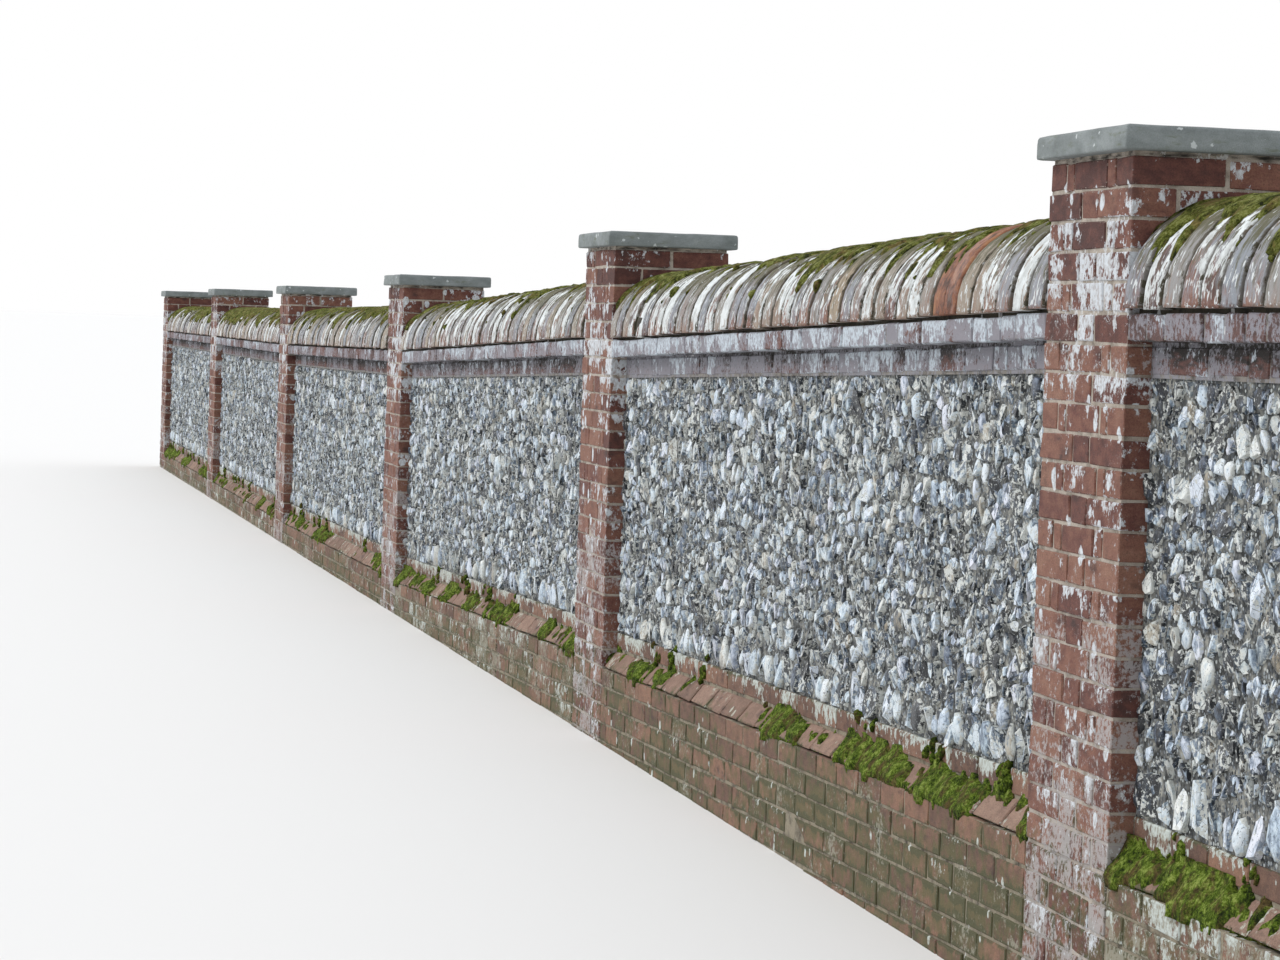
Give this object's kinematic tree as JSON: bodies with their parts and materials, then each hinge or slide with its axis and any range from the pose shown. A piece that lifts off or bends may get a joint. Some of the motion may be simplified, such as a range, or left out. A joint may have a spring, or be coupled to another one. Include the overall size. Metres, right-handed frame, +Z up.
{
  "type": "flint boundary wall",
  "caption": "Long boundary wall of flint panels between brick piers with flat stone caps, with a chamfered plinth, a string course and a half-round brick coping.",
  "frame": {"origin": "under the middle pier, on the flat level that the piers and the plinth stand on", "axes": "+X along the wall towards its higher end, +Y through the wall away from the road, +Z up"},
  "size_m": [35.8914, 0.524, 2.174],
  "materials": {
    "brick": "matt weathered clay brick in pale lime mortar",
    "plinth_brick": "matt clay brick with grey and green lichen",
    "coping_brick": "half-round clay brick with white lichen streaks and moss",
    "flint": "broken flint nodules in lime mortar",
    "cap_stone": "flat sawn slab with lichen"
  },
  "bodies": {
    "root": {"coping_1": "coping_brick", "coping_2": "coping_brick", "coping_3": "coping_brick", "coping_4": "coping_brick", "coping_5": "coping_brick", "coping_6": "coping_brick", "flint_panel_1": "flint", "flint_panel_2": "flint", "flint_panel_3": "flint", "flint_panel_4": "flint", "flint_panel_5": "flint", "flint_panel_6": "flint", "frieze_1": "brick", "frieze_2": "brick", "frieze_3": "brick", "frieze_4": "brick", "frieze_5": "brick", "frieze_6": "brick", "pier_1": "brick", "pier_2": "brick", "pier_3": "brick", "pier_4": "brick", "pier_5": "brick", "pier_6": "brick", "pier_7": "brick", "pier_cap_1": "cap_stone", "pier_cap_2": "cap_stone", "pier_cap_3": "cap_stone", "pier_cap_4": "cap_stone", "pier_cap_5": "cap_stone", "pier_cap_6": "cap_stone", "pier_cap_7": "cap_stone", "plinth_1": "plinth_brick", "plinth_2": "plinth_brick", "plinth_3": "plinth_brick", "plinth_4": "plinth_brick", "plinth_5": "plinth_brick", "plinth_6": "plinth_brick", "string_course_1": "brick", "string_course_2": "brick", "string_course_3": "brick", "string_course_4": "brick", "string_course_5": "brick", "string_course_6": "brick"}
  },
  "joints": []
}
